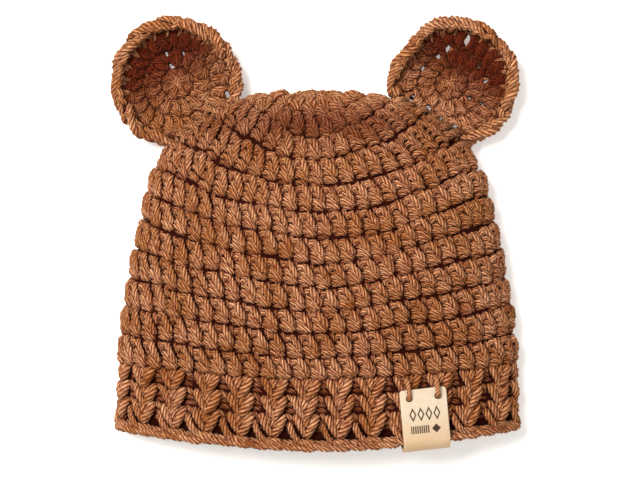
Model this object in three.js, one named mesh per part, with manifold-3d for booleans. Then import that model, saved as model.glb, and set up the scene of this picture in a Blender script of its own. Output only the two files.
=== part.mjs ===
// A crocheted baby hat with two cupped ears and a folded leather tag on its hem.
// It lies flat on its back: +Z is up, +Y runs to the crown, and the floor is Z = 0.
import * as THREE from 'three';
import { mergeVertices } from 'three/addons/utils/BufferGeometryUtils.js';
import Module from 'manifold-3d';

const wasm = await Module();
wasm.setup();

// Crown
const crownHeight = 128.7;     // top of the crown down to the band, along the middle
const crownWidth = 180.9;      // flat width where the crown meets the band
const crownLoft = 40;          // height of the crown's front over the floor
const foldRadius = 9.5;        // roundness of the folded sides
const crownWall = 6;
const ridgeDepth = 1.5;        // how far the joint of two rounds lies below their crests
const domePower = 2.4;         // 2 would be an ellipse; more is squarer
const sagPower = 1.6;          // how the rounds droop from the folds to the middle
const crownStations = 42;      // points around the crown

// Band and edging
const bandHeight = 26.1;
const bandWall = 7.5;
const hemWidth = 183.4;
const hemLoft = 33;            // height of the hem's front over the floor
const hemSag = 8.3;            // how far the hem droops in the middle
const bandRounds = 3;
const ribCount = 27;
const ribDepth = 2.6;          // how far the sunk columns lie below the raised ones
const bandRidge = 0.8;         // how far the joint of two band rounds lies below their crests
const edgingHeight = 5.8;
const edgingTwist = 0.5;       // height of the lumps of the edging cord
const edgingSides = 6;

// Ears
const earRadius = 29.7;
const earSpread = 62.1;        // each ear's centre from the middle of the hat
const earRise = 3.9;           // each ear's centre above the top of the crown
const earWall = 5;
const earLean = 31;            // degrees that each ear leans out from straight up
const earFloor = 5;            // radius of the flat patch that the ear rests on
const earCup = 13;             // how far the ear's edge stands over the floor
const earCurve = 2.2;          // how late the cup turns up
const earRimThickness = 7;
const earRimWrap = 3.4;        // how far the rim's round goes, in radians from its outer side
const earRimSteps = 5;
const earRidge = 0.9;
const earStations = 32;
const earGapWidth = 2;         // see-through gaps between stitches
const earGapLength = 3.6;

// Tag and ties
const tagWidth = 20.9;
const tagLeaf = 22.6;          // each leaf, from the middle of the edging to its end
const tagThickness = 1.3;
const tagCorner = 2.2;
const tagOffset = 48.2;        // tag's middle from the middle of the hat
const tagLift = 0.6;           // between the wall's highest line and the flat leaf
const tagCornerSteps = 3;
const tagBendSteps = 8;
const holeFromEnd = 3.9;
const holeFromSide = 4;
const tieThickness = 2.2;
const tieRise = 7.8;           // from the hole up to where the tie enters the band
const tieBend = 1.8;           // radius of the tie's corners
const tieBendSteps = 3;
const tieSides = 8;

const clearance = 0.3;         // between pieces that touch

// One row for each round, from the centre of the crown to the band. drop and side are how far the round has
// come down at the middle and at the folds, as shares of crownHeight; half is its half width, as a share of
// half of crownWidth; front and back are its heights over the floor, as shares of crownLoft.
const rounds = [
  { drop: 0.0, side: 0.0, half: 0.0, front: 0.24, back: 0.24 },
  { drop: 0.028, side: 0.0, half: 0.144, front: 0.48, back: 0.04 },
  { drop: 0.091, side: 0.007, half: 0.249, front: 0.64, back: 0.0 },
  { drop: 0.168, side: 0.021, half: 0.378, front: 0.76, back: 0.0 },
  { drop: 0.248, side: 0.077, half: 0.555, front: 0.85, back: 0.0 },
  { drop: 0.339, side: 0.171, half: 0.739, front: 0.92, back: 0.0 },
  { drop: 0.43, side: 0.271, half: 0.838, front: 0.97, back: 0.0 },
  { drop: 0.521, side: 0.36, half: 0.858, front: 1.0, back: 0.0 },
  { drop: 0.605, side: 0.453, half: 0.888, front: 1.0, back: 0.0 },
  { drop: 0.685, side: 0.549, half: 0.923, front: 1.0, back: 0.0 },
  { drop: 0.769, side: 0.65, half: 0.945, front: 0.98, back: 0.0 },
  { drop: 0.846, side: 0.747, half: 0.968, front: 0.95, back: 0.0 },
  { drop: 0.93, side: 0.848, half: 0.99, front: 0.91, back: 0.0 },
  { drop: 1.0, side: 0.949, half: 1.0, front: 0.87, back: 0.0 },
];
const lastRound = rounds.length - 1;

// See-through gaps between an ear's stitches: out is the distance from the ear's centre as a share of
// earRadius, and turn is the angle in degrees from the ear's outward direction towards the hat's middle.
const earGaps = {
  left: [
    { out: 0.48, turn: 10 },
    { out: 0.29, turn: 13 },
    { out: 0.46, turn: 43 },
    { out: 0.8, turn: 134 },
  ],
  right: [
    { out: 0.69, turn: 11 },
    { out: 0.53, turn: 37 },
    { out: 0.45, turn: 57 },
    { out: 0.49, turn: -29 },
    { out: 0.49, turn: 94 },
    { out: 0.53, turn: -54 },
    { out: 0.36, turn: -99 },
    { out: 0.57, turn: -93 },
    { out: 0.65, turn: 143 },
    { out: 0.56, turn: 168 },
    { out: 0.62, turn: -167 },
    { out: 0.71, turn: -147 },
  ],
};

const yarn = { color: 0x9a6038, roughness: 0.95, metalness: 0 };
const leather = { color: 0xe0c496, roughness: 0.6, metalness: 0 };
const thread = { color: 0xa9705a, roughness: 0.9, metalness: 0 };

const topY = crownHeight / 2;  // the origin lies half way down the crown, on the floor

// Shape of the hat's rounds
function smooth(a, b, c, d, t) {
  const slopeB = (c - a) / 2;
  const slopeC = (d - b) / 2;
  const rest = 1 - t;
  return (
    b * (1 + 2 * t) * rest * rest + slopeB * t * rest * rest + c * (3 - 2 * t) * t * t - slopeC * rest * t * t
  );
}

function roundColumn(k, column) {
  const i = Math.min(Math.floor(k), lastRound - 1);
  const at = (j) => rounds[Math.max(0, Math.min(lastRound, j))][column];
  return smooth(at(i - 1), at(i), at(i + 1), at(i + 2), k - i);
}

// Outer size of the crown at round k, where k may lie between two rounds.
function crownRound(k) {
  return {
    half: (crownWidth / 2) * roundColumn(k, 'half'),
    drop: crownHeight * roundColumn(k, 'drop'),
    side: crownHeight * roundColumn(k, 'side'),
    front: crownLoft * roundColumn(k, 'front'),
    back: Math.max(0, crownLoft * roundColumn(k, 'back')),
  };
}

// Outer size of the band at height b, from 0 at its top to bandHeight at the hem; more runs past the hem.
function bandRound(b) {
  const top = crownRound(lastRound);
  const share = b / bandHeight;
  const drop = top.drop + b;
  return {
    half: THREE.MathUtils.lerp(top.half, hemWidth / 2, share),
    drop,
    side: drop - THREE.MathUtils.lerp(top.drop - top.side, hemSag, share),
    front: THREE.MathUtils.lerp(top.front, hemLoft, share),
    back: 0,
  };
}

// Moves a round in by a depth. At the centre of the crown in is down, and lower down it is sideways.
function inset(round, k, depth, backDepth) {
  const sideways = Math.min(1, k / 5);
  const upright = Math.min(1, k / 3);
  const down = Math.max(0, 1 - k / 4) * depth;
  return {
    spread: round.half,
    half: round.half - depth * sideways,
    drop: round.drop + down,
    side: round.side + down,
    front: round.front - depth * upright,
    back: round.back + backDepth * upright,
    foldInset: depth * sideways,
  };
}

// Points around a round: over the front from the left fold to the right one, then back underneath. The
// underside is flat where it rests.
function sectionCurve(round) {
  const fine = 96;
  const fold = foldRadius;
  const corner = Math.min(foldRadius - (round.foldInset ?? 0), round.half * 0.7);
  const front = [];
  const back = [];
  for (let i = 0; i <= fine; i++) {
    const angle = (Math.PI * i) / fine;
    const cos = Math.cos(angle);
    front.push([
      -round.half * Math.sign(cos) * Math.abs(cos) ** (2 / domePower),
      fold + (round.front - fold) * Math.abs(Math.sin(angle)) ** (2 / domePower),
    ]);
  }
  const quarter = fine / 4;
  for (let i = 0; i <= quarter; i++) {
    const angle = (Math.PI / 2) * (i / quarter);
    back.push([
      round.half - corner + corner * Math.cos(angle),
      fold - (fold - round.back) * Math.sin(angle),
    ]);
  }
  for (let i = quarter; i >= 0; i--) {
    back.push([-back[i][0], back[i][1]]);
  }
  return { front, back };
}

function evenPoints(curve, count) {
  const reach = [0];
  for (let i = 1; i < curve.length; i++) {
    reach.push(reach[i - 1] + Math.hypot(curve[i][0] - curve[i - 1][0], curve[i][1] - curve[i - 1][1]));
  }
  const points = [];
  let i = 1;
  for (let j = 0; j < count; j++) {
    const goal = (reach[reach.length - 1] * j) / count;
    while (reach[i] < goal) {
      i += 1;
    }
    const share = (goal - reach[i - 1]) / (reach[i] - reach[i - 1]);
    points.push([
      THREE.MathUtils.lerp(curve[i - 1][0], curve[i][0], share),
      THREE.MathUtils.lerp(curve[i - 1][1], curve[i][1], share),
    ]);
  }
  return points;
}

function ring(round, stations) {
  const { front, back } = sectionCurve(round);
  const section = [...evenPoints(front, stations / 2), ...evenPoints(back, stations / 2)];
  return section.map(([x, z]) => {
    const u = Math.min(1, Math.abs(x) / round.spread);
    const come = round.side + (round.drop - round.side) * (1 - u ** sagPower);
    return new THREE.Vector3(x, topY - come, z);
  });
}

// Closed meshes from rings of points. A ring of one point is a pole; loop joins the last ring to the first.
function ringMesh(rings, { loop = false } = {}) {
  const positions = [];
  const index = [];
  const starts = [];
  for (const points of rings) {
    starts.push(positions.length / 3);
    points.forEach((p) => positions.push(p.x, p.y, p.z));
  }
  const joinRings = (a, b) => {
    const countA = rings[a].length;
    const countB = rings[b].length;
    const count = Math.max(countA, countB);
    for (let i = 0; i < count; i++) {
      const a0 = starts[a] + (i % countA);
      const a1 = starts[a] + ((i + 1) % countA);
      const b0 = starts[b] + (i % countB);
      const b1 = starts[b] + ((i + 1) % countB);
      if (a0 !== a1) {
        index.push(a0, b0, a1);
      }
      if (b0 !== b1) {
        index.push(a1, b0, b1);
      }
    }
  };
  for (let i = 1; i < rings.length; i++) {
    joinRings(i - 1, i);
  }
  if (loop) {
    joinRings(rings.length - 1, 0);
  }
  const geometry = new THREE.BufferGeometry();
  geometry.setAttribute('position', new THREE.Float32BufferAttribute(positions, 3));
  geometry.setIndex(index);
  return geometry;
}

// Turns the faces out if they were built facing in.
function facingOut(geometry) {
  const at = geometry.attributes.position;
  const index = geometry.index.array;
  const [a, b, c] = [new THREE.Vector3(), new THREE.Vector3(), new THREE.Vector3()];
  let volume = 0;
  for (let i = 0; i < index.length; i += 3) {
    a.fromBufferAttribute(at, index[i]);
    b.fromBufferAttribute(at, index[i + 1]);
    c.fromBufferAttribute(at, index[i + 2]);
    volume += a.dot(b.cross(c));
  }
  if (volume < 0) {
    for (let i = 0; i < index.length; i += 3) {
      [index[i], index[i + 1]] = [index[i + 1], index[i]];
    }
  }
  return geometry;
}

// Booleans
function toSolid(geometry) {
  const bare = geometry.clone();
  bare.deleteAttribute('normal');
  bare.deleteAttribute('uv');
  const merged = mergeVertices(bare, 1e-4);
  return new wasm.Manifold(
    new wasm.Mesh({
      numProp: 3,
      vertProperties: Float32Array.from(merged.attributes.position.array),
      triVerts: Uint32Array.from(merged.index.array),
    }),
  );
}

function toGeometry(solid) {
  const mesh = solid.getMesh();
  const geometry = new THREE.BufferGeometry();
  geometry.setAttribute('position', new THREE.BufferAttribute(Float32Array.from(mesh.vertProperties), 3));
  geometry.setIndex(Array.from(mesh.triVerts));
  return geometry;
}

// Crown: outside with a crest for each round and a joint between rounds, inside smooth.
function crownGeometry() {
  const rings = [[new THREE.Vector3(0, topY, foldRadius)]];
  for (let half = 1; half <= 2 * lastRound; half++) {
    const k = half / 2;
    const depth = half % 2 ? 0 : ridgeDepth;
    rings.push(ring(inset(crownRound(k), k, depth, 0), crownStations));
  }
  for (let k = lastRound; k >= 1; k -= k > 5 ? 2 : 1) {
    rings.push(ring(inset(crownRound(k), k, crownWall, crownWall), crownStations));
  }
  rings.push([new THREE.Vector3(0, topY - crownWall, foldRadius)]);
  return ringMesh(rings);
}

// The crown without its hollow, grown by the clearance: what an ear is fitted against.
function crownSeat() {
  const rings = [[new THREE.Vector3(0, topY + clearance, foldRadius)]];
  for (let half = 1; half <= 2 * lastRound; half++) {
    const k = half / 2;
    const depth = half % 2 ? 0 : ridgeDepth;
    rings.push(ring(inset(crownRound(k), k, depth - clearance, -clearance), crownStations));
  }
  rings.push([new THREE.Vector3(0, topY - crownHeight, foldRadius)]);
  return toSolid(facingOut(ringMesh(rings)));
}

// Ribbed band: raised columns with sunk ones between them, over three rounds.
const stationsPerRib = 4;
const bandStations = ribCount * stationsPerRib;

function ribRing(b, depth) {
  const crest = ring(inset(bandRound(b), lastRound, depth, 0), bandStations);
  const sunk = ring(inset(bandRound(b), lastRound, depth + ribDepth, 0), bandStations);
  return crest.map((point, i) => (i % stationsPerRib < stationsPerRib / 2 ? point : sunk[i]));
}

function bandGeometry() {
  const rings = [];
  for (let half = 0; half <= 2 * bandRounds; half++) {
    const b = clearance + ((bandHeight - clearance) * half) / (2 * bandRounds);
    rings.push(ribRing(b, half % 2 ? 0 : bandRidge));
  }
  for (const b of [bandHeight, clearance]) {
    rings.push(ring(inset(bandRound(b), lastRound, bandWall, bandWall), bandStations));
  }
  return ringMesh(rings, { loop: true });
}

// Middle of the edging, below the top of the band.
const edgingMiddle = bandHeight + clearance + edgingHeight / 2;

function edgingGeometry() {
  const stations = ribCount * 3;
  const hem = (b, depth) => ring(inset(bandRound(b), lastRound, depth, depth), stations);
  const outside = hem(edgingMiddle, 0);
  const inside = hem(edgingMiddle, bandWall);
  const above = hem(bandHeight, bandWall / 2);
  const rings = outside.map((outer, i) => {
    const middle = outer.clone().lerp(inside[i], 0.5);
    const out = outer.clone().sub(middle).normalize();
    const up = above[i].clone().sub(middle).projectOnPlane(out).normalize();
    const lump = i % 3 ? 0 : edgingTwist;
    const points = [];
    for (let j = 0; j < edgingSides; j++) {
      const angle = (Math.PI * 2 * (j + 0.5)) / edgingSides;
      const thick = Math.cos(angle) * (bandWall / 2 - lump);
      points.push(middle.clone().addScaledVector(out, thick).addScaledVector(up, (edgingHeight / 2) * Math.sin(angle)));
    }
    return points;
  });
  return ringMesh(rings, { loop: true });
}

// Ears: a cup that rests on its back, with a thick rim turned in, seated on the crown's corner.
const earRounds = 3;

function earBack(out) {
  return earCup * Math.max(0, (out - earFloor) / (earRadius - earFloor)) ** earCurve;
}

function earProfile() {
  const rim = earRimThickness / 2;
  const rimOut = earRadius - rim;
  const rimHeight = earBack(rimOut) + rim;
  const roundWidth = (earRadius - 2 * rim) / earRounds;
  const profile = [];
  for (let i = 0; i <= earRounds; i++) {
    const out = THREE.MathUtils.lerp(earFloor, rimOut - rim / 2, i / earRounds);
    profile.push([out, earBack(out)]);
  }
  for (let i = 0; i <= earRimSteps; i++) {
    const angle = THREE.MathUtils.lerp(-earRimWrap / 4, earRimWrap, i / earRimSteps);
    profile.push([rimOut + rim * Math.cos(angle), rimHeight + rim * Math.sin(angle)]);
  }
  for (let half = 2 * earRounds; half >= 1; half--) {
    const out = (roundWidth * half) / 2;
    profile.push([out, earBack(out) + earWall - (half % 2 ? 0 : earRidge)]);
  }
  return profile;
}

function earSolid(side) {
  const mirror = side === 'left' ? -1 : 1;
  const centre = new THREE.Vector3(mirror * earSpread, topY + earRise, 0);
  const outward = Math.PI / 2 - mirror * THREE.MathUtils.degToRad(earLean);
  const rings = [[centre.clone()]];
  for (const [out, height] of earProfile()) {
    const points = [];
    for (let i = 0; i < earStations; i++) {
      const angle = (Math.PI * 2 * i) / earStations;
      points.push(new THREE.Vector3(centre.x + out * Math.cos(angle), centre.y + out * Math.sin(angle), height));
    }
    rings.push(points);
  }
  rings.push([new THREE.Vector3(centre.x, centre.y, earWall)]);
  let solid = toSolid(facingOut(ringMesh(rings)));
  for (const { out, turn } of earGaps[side]) {
    const angle = outward + mirror * THREE.MathUtils.degToRad(turn);
    const gap = new THREE.BoxGeometry(earGapLength, earGapWidth, 4 * earCup);
    gap.rotateZ(outward);
    gap.translate(
      centre.x + earRadius * out * Math.cos(angle),
      centre.y + earRadius * out * Math.sin(angle),
      0,
    );
    solid = solid.subtract(toSolid(gap));
  }
  return solid.subtract(crownSeat());
}

// Tag and ties. A place on them is given from the outer face of the edging's middle at the tag: across the
// hem, up the wall and out of it.
function hemPoint(b, x) {
  const round = bandRound(b);
  const u = Math.abs(x) / round.half;
  return new THREE.Vector3(
    x,
    topY - round.side - (round.drop - round.side) * (1 - u ** sagPower),
    foldRadius + (round.front - foldRadius) * (1 - u ** domePower) ** (1 / domePower),
  );
}

const tagOrigin = hemPoint(edgingMiddle, tagOffset);
const tagAcross = hemPoint(edgingMiddle, tagOffset + 1)
  .sub(hemPoint(edgingMiddle, tagOffset - 1))
  .normalize();
const tagUp = hemPoint(0, tagOffset).sub(tagOrigin).projectOnPlane(tagAcross).normalize();
const tagOut = tagAcross.clone().cross(tagUp);

function tagPlace(across, up, out) {
  return tagOrigin
    .clone()
    .addScaledVector(tagAcross, across)
    .addScaledVector(tagUp, up)
    .addScaledVector(tagOut, out);
}

function tagSolid() {
  const half = tagThickness / 2;
  const bend = bandWall / 2 + tagLift + half;
  const path = [];
  for (let i = 0; i <= tagCornerSteps; i++) {
    const angle = (Math.PI / 2) * (i / tagCornerSteps);
    path.push({
      up: tagLeaf - tagCorner + tagCorner * Math.cos(angle),
      out: tagLift + half,
      width: tagWidth / 2 - tagCorner + tagCorner * Math.sin(angle),
      tilt: 0,
    });
  }
  const end = path.map((place) => ({ ...place, out: -bandWall - tagLift - half, tilt: Math.PI })).reverse();
  for (let i = 0; i <= tagBendSteps; i++) {
    const tilt = Math.PI * (i / tagBendSteps);
    path.push({
      up: -bend * Math.sin(tilt),
      out: -bandWall / 2 + bend * Math.cos(tilt),
      width: tagWidth / 2,
      tilt,
    });
  }
  path.push(...end);
  const rings = path.map(({ up, out, width, tilt }) => {
    const at = (across, thick) =>
      tagPlace(across, up - thick * Math.sin(tilt), out + thick * Math.cos(tilt));
    return [at(-width, half), at(width, half), at(width, -half), at(-width, -half)];
  });
  const cap = (points) => [points[0].clone().lerp(points[2], 0.5)];
  rings.unshift(cap(rings[0]));
  rings.push(cap(rings[rings.length - 1]));
  let solid = toSolid(facingOut(ringMesh(rings)));
  for (const side of [-1, 1]) {
    solid = solid.subtract(tagHole(side));
  }
  return solid;
}

const holeUp = tagLeaf - holeFromEnd;
const holeAcross = tagWidth / 2 - holeFromSide;

function tagHole(side) {
  const hole = new THREE.CylinderGeometry(
    tieThickness / 2 + clearance,
    tieThickness / 2 + clearance,
    2 * (bandWall + 2 * tagLift + 2 * tagThickness),
    tieSides * 2,
  );
  const place = tagPlace(side * holeAcross, holeUp, 0);
  hole.applyMatrix4(new THREE.Matrix4().makeBasis(tagAcross, tagOut, tagUp.clone().negate()).setPosition(place));
  return toSolid(hole);
}

// A tie is a closed loop through the hole of both leaves, up behind the band and back over the tag's end.
function tieGeometry(side, grown) {
  const radius = tieThickness / 2 + grown;
  const outside = tagLift + tagThickness + clearance + tieThickness / 2;
  const inside = -bandWall - outside;
  const corners = [
    { up: holeUp + tieBend, out: outside - tieBend, turn: -Math.PI / 2 },
    { up: holeUp + tieRise - tieBend, out: outside - tieBend, turn: 0 },
    { up: holeUp + tieRise - tieBend, out: inside + tieBend, turn: Math.PI / 2 },
    { up: holeUp + tieBend, out: inside + tieBend, turn: Math.PI },
  ];
  const rings = [];
  for (const corner of corners) {
    for (let i = 0; i <= tieBendSteps; i++) {
      const angle = corner.turn + (Math.PI / 2) * (i / tieBendSteps);
      const points = [];
      for (let j = 0; j < tieSides; j++) {
        const around = (Math.PI * 2 * j) / tieSides;
        const reach = tieBend + radius * Math.cos(around);
        points.push(
          tagPlace(
            side * holeAcross + radius * Math.sin(around),
            corner.up + reach * Math.sin(angle),
            corner.out + reach * Math.cos(angle),
          ),
        );
      }
      rings.push(points);
    }
  }
  return facingOut(ringMesh(rings, { loop: true }));
}

// Assembly
const hat = new THREE.Group();

function addPiece(name, geometry, finish) {
  const flat = geometry.index ? geometry.toNonIndexed() : geometry;
  flat.computeVertexNormals();
  const mesh = new THREE.Mesh(flat, new THREE.MeshStandardMaterial(finish));
  mesh.name = name;
  hat.add(mesh);
}

let band = toSolid(facingOut(bandGeometry()));
for (const side of [-1, 1]) {
  band = band.subtract(toSolid(tieGeometry(side, clearance)));
}

addPiece('crown', facingOut(crownGeometry()), yarn);
addPiece('ribbed_band', toGeometry(band), yarn);
addPiece('hem_edging', facingOut(edgingGeometry()), yarn);
addPiece('ear_left', toGeometry(earSolid('left')), yarn);
addPiece('ear_right', toGeometry(earSolid('right')), yarn);
addPiece('leather_tag', toGeometry(tagSolid()), leather);
addPiece('tag_tie_left', tieGeometry(-1, 0), thread);
addPiece('tag_tie_right', tieGeometry(1, 0), thread);

export default hat;
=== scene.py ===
# Crocheted baby hat with cupped ears, lying on its back; metres, +Z up, crown towards +Y
import math
import bmesh
import bpy
import numpy as np
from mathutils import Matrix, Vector


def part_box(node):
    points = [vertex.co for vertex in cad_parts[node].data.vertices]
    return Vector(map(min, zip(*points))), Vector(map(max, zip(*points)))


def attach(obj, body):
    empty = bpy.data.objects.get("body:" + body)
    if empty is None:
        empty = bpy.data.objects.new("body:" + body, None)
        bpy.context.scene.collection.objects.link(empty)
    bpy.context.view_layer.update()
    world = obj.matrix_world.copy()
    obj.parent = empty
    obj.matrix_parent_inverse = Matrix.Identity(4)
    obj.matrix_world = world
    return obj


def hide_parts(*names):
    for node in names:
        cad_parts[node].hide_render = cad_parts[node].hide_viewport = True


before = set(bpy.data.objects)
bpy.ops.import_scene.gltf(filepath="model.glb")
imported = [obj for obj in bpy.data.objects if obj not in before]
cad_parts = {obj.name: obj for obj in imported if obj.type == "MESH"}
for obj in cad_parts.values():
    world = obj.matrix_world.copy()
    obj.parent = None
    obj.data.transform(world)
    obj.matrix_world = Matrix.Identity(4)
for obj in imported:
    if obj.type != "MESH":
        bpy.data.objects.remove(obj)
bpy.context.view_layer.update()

mm = 0.001
rng = np.random.default_rng(11)

# Rounds of the crown: drop and side are shares of its height, half of its half width,
# front and back of its height over the floor
roundRows = [
    # drop, side, half, front, back
    (0.0, 0.0, 0.0, 0.24, 0.24),
    (0.028, 0.0, 0.144, 0.48, 0.04),
    (0.091, 0.007, 0.249, 0.64, 0.0),
    (0.168, 0.021, 0.378, 0.76, 0.0),
    (0.248, 0.077, 0.555, 0.85, 0.0),
    (0.339, 0.171, 0.722, 0.92, 0.0),
    (0.43, 0.271, 0.816, 0.97, 0.0),
    (0.521, 0.36, 0.858, 1.0, 0.0),
    (0.605, 0.453, 0.888, 1.0, 0.0),
    (0.685, 0.549, 0.923, 1.0, 0.0),
    (0.769, 0.65, 0.945, 0.98, 0.0),
    (0.846, 0.747, 0.968, 0.95, 0.0),
    (0.93, 0.848, 0.99, 0.91, 0.0),
    (1.0, 0.949, 1.0, 0.87, 0.0),
]
crownRounds = len(roundRows) - 1
bandRounds = 3

crownLow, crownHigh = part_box("crown")
bandLow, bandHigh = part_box("ribbed_band")
edgingLow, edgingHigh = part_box("hem_edging")

hat = {
    "topY": crownHigh[1],
    "crownHeight": crownHigh[1] - crownLow[1],
    "crownHalf": (crownHigh[0] - crownLow[0]) / 2 * 1.004,     # the faceted solid is a little narrow
    "crownLoft": crownHigh[2],
    "bandHeight": crownLow[1] - bandLow[1],
    "bandWall": 7.5 * mm,
    "hemHalf": (edgingHigh[0] - edgingLow[0]) / 2,
    "hemLoft": 33 * mm,
    "hemSag": 8.3 * mm,
    "edging": 5.8 * mm,
    "clearance": 0.3 * mm,    # between the solids
    "fold": 9.5 * mm,         # roundness of the folded sides
    "foldShare": 0.7,         # of a round's half width, where that is less
    "domePower": 2.4,         # 2 would be an ellipse
    "sagPower": 1.6,
    "stitches": 54,           # around, below the increases
    "step": 0.1,              # rounds between two rows of the sheet
    "around": 432,            # points in a row
    "frontPoints": 121,
    "foldPoints": 31,
}


def smoothColumn(column, k):
    values = np.array([row[column] for row in roundRows])
    i = min(int(k), crownRounds - 1)
    f, g = k - i, 1 - k + i
    a, b, c, d = (values[min(max(j, 0), crownRounds)] for j in (i - 1, i, i + 1, i + 2))
    return (
        b * (1 + 2 * f) * g * g + (c - a) / 2 * f * g * g + c * (3 - 2 * f) * f * f
        - (d - b) / 2 * g * f * f
    )


def roundSizes(k):
    drop, side, half, front, back = (smoothColumn(c, min(k, crownRounds)) for c in range(5))
    drop, side = drop * hat["crownHeight"], side * hat["crownHeight"]
    half = half * hat["crownHalf"]
    front, back = front * hat["crownLoft"], max(0.0, back * hat["crownLoft"])
    if k > crownRounds:
        share = (k - crownRounds) / bandRounds
        sag = (drop - side) * (1 - share) + hat["hemSag"] * share
        drop = drop + share * hat["bandHeight"]
        side = drop - sag
        half = half * (1 - share) + hat["hemHalf"] * share
        front = front * (1 - share) + hat["hemLoft"] * share
    return drop, side, half, front, back


def evenly(line, count):
    reach = np.concatenate([[0], np.cumsum(np.linalg.norm(np.diff(line, axis=0), axis=1))])
    goal = np.linspace(0, reach[-1], count, endpoint=False)
    return np.stack([np.interp(goal, reach, column) for column in line.T], axis=1)


# A sheet is a grid of places: rows count rounds of stitches, columns go once around
class Sheet:
    def __init__(self, places, step):
        self.places, self.step = places, step
        self.around = places.shape[1]
        down = np.gradient(places, axis=0)
        across = np.roll(places, -1, axis=1) - np.roll(places, 1, axis=1)
        normals = np.cross(down, across)
        length = np.linalg.norm(normals, axis=2, keepdims=True)
        self.normals = normals / np.maximum(length, 1e-12)

    def at(self, k, t, w):
        # place at round k, share t around, w metres out of the sheet's face
        k = np.clip(np.asarray(k, float) / self.step, 0, len(self.places) - 1.001)
        t = (np.asarray(t, float) % 1.0) * self.around
        i, j = np.floor(k).astype(int), np.floor(t).astype(int)
        shareK, shareT = (k - i)[..., None], (t - j)[..., None]
        j, nextJ = j % self.around, (j + 1) % self.around

        def blend(grid):
            upper = grid[i, j] * (1 - shareT) + grid[i, nextJ] * shareT
            lower = grid[i + 1, j] * (1 - shareT) + grid[i + 1, nextJ] * shareT
            return upper * (1 - shareK) + lower * shareK

        return blend(self.places) + blend(self.normals) * np.asarray(w, float)[..., None]


def hatGrid():
    # each round goes from the left fold over the front to the right fold and back underneath
    rows = []
    for k in np.arange(0, crownRounds + bandRounds + 1 + hat["step"] / 2, hat["step"]):
        drop, side, half, front, back = roundSizes(k)
        half = max(half, 1e-6)
        turn = np.linspace(0, math.pi, hat["frontPoints"])
        power = 2 / hat["domePower"]
        frontX = -half * np.sign(np.cos(turn)) * np.abs(np.cos(turn)) ** power
        frontZ = hat["fold"] + (front - hat["fold"]) * np.abs(np.sin(turn)) ** power
        corner = min(hat["fold"], half * hat["foldShare"])
        turn = np.linspace(0, math.pi / 2, hat["foldPoints"])
        backX = half - corner + corner * np.cos(turn)
        backZ = hat["fold"] - (hat["fold"] - back) * np.sin(turn)
        backX, backZ = np.concatenate([backX, -backX[::-1]]), np.concatenate([backZ, backZ[::-1]])
        halves = (np.stack([frontX, frontZ], axis=1), np.stack([backX, backZ], axis=1))
        x, z = np.concatenate([evenly(line, hat["around"] // 2) for line in halves]).T
        bow = (drop - side) * (1 - np.minimum(1, np.abs(x) / half) ** hat["sagPower"])
        rows.append(np.stack([x, hat["topY"] - side - bow, z], axis=1))
    return np.array(rows)


hatSheet = Sheet(hatGrid(), hat["step"])
hatSheet.normals[0] = (0, 1, 0)      # the first row is a single point


# Node helpers
def linearColour(code):
    channels = [int(code[i:i + 2], 16) / 255 for i in (1, 3, 5)]
    return [c / 12.92 if c <= 0.04045 else ((c + 0.055) / 1.055) ** 2.4 for c in channels] + [1.0]


def addNode(tree, kind, links=None, **settings):
    node = tree.nodes.new(kind)
    for name, value in settings.items():
        setattr(node, name, value)
    for socket, value in (links or {}).items():
        target = node.inputs[socket]
        if isinstance(value, bpy.types.NodeSocket):
            tree.links.new(value, target)
        else:
            target.default_value = value
    return node


def calc(tree, operation, a, b=0.0):
    return addNode(tree, "ShaderNodeMath", {0: a, 1: b}, operation=operation).outputs[0]


# Yarn: a wire mesh of strands becomes plied tubes
yarn = {
    "plies": 5,
    "turn": 12 * mm,          # length of one turn of the plies
    "groove": 0.78,           # radius in the grooves between plies, as a share
    "taper": 0.55,            # radius at a strand's ends, as a share
    "uneven": 0.06,           # spread of the strands' radius, as a share
    "twistSpread": 6.0,       # radians by which the plies of two strands may differ
    "stray": (0.03, 0.02, 0.14),       # of a stitch: shares across and down, millimetres out
    "strandStray": 0.7,       # of each strand, as a share of that
}


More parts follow.
